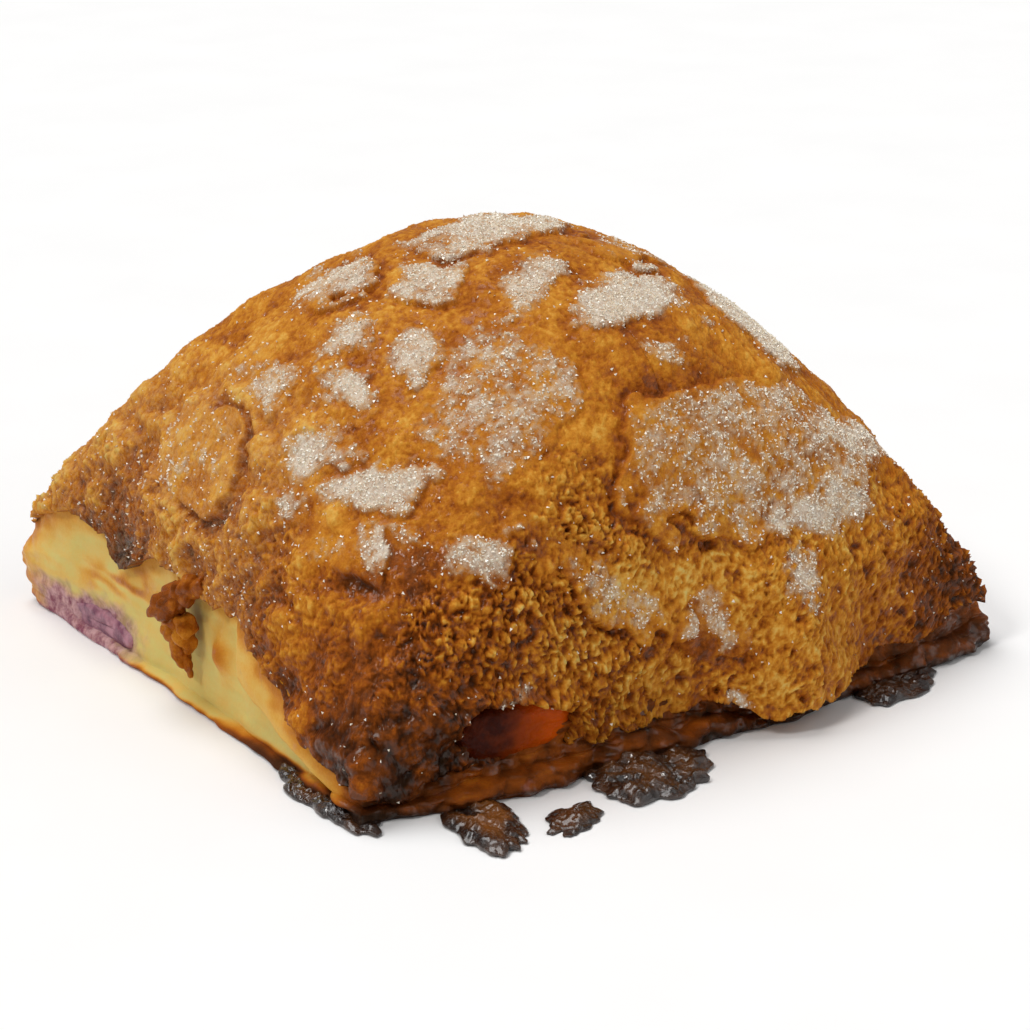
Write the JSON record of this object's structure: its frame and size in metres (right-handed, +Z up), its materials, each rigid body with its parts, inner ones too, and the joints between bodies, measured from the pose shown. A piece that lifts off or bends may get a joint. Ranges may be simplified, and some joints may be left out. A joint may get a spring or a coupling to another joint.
{
  "type": "filled puff pastry",
  "caption": "Domed, four-cornered puff pastry with a cracked sugar crust, fruit filling at one side, a jam window in front and burnt jam leaked round its foot.",
  "frame": {"origin": "middle of the pastry's flat base, on the surface that it rests on", "axes": "+X along the front side to the right, +Y from the front to the back, +Z up"},
  "size_m": [0.0931, 0.0967, 0.0514],
  "materials": {
    "crust": "golden brown baked crust with cracked sugar plates",
    "berry": "moist purple fruit filling",
    "jam": "glossy amber jam",
    "burnt_jam": "burnt, glossy, nearly black jam"
  },
  "bodies": {
    "root": {"pastry": "crust", "berry_filling": "berry", "amber_jam": "jam", "burnt_jam_corner": "burnt_jam", "burnt_jam_tongue": "burnt_jam", "burnt_jam_front": "burnt_jam", "burnt_jam_right": "burnt_jam", "burnt_jam_flake": "burnt_jam"}
  },
  "joints": []
}
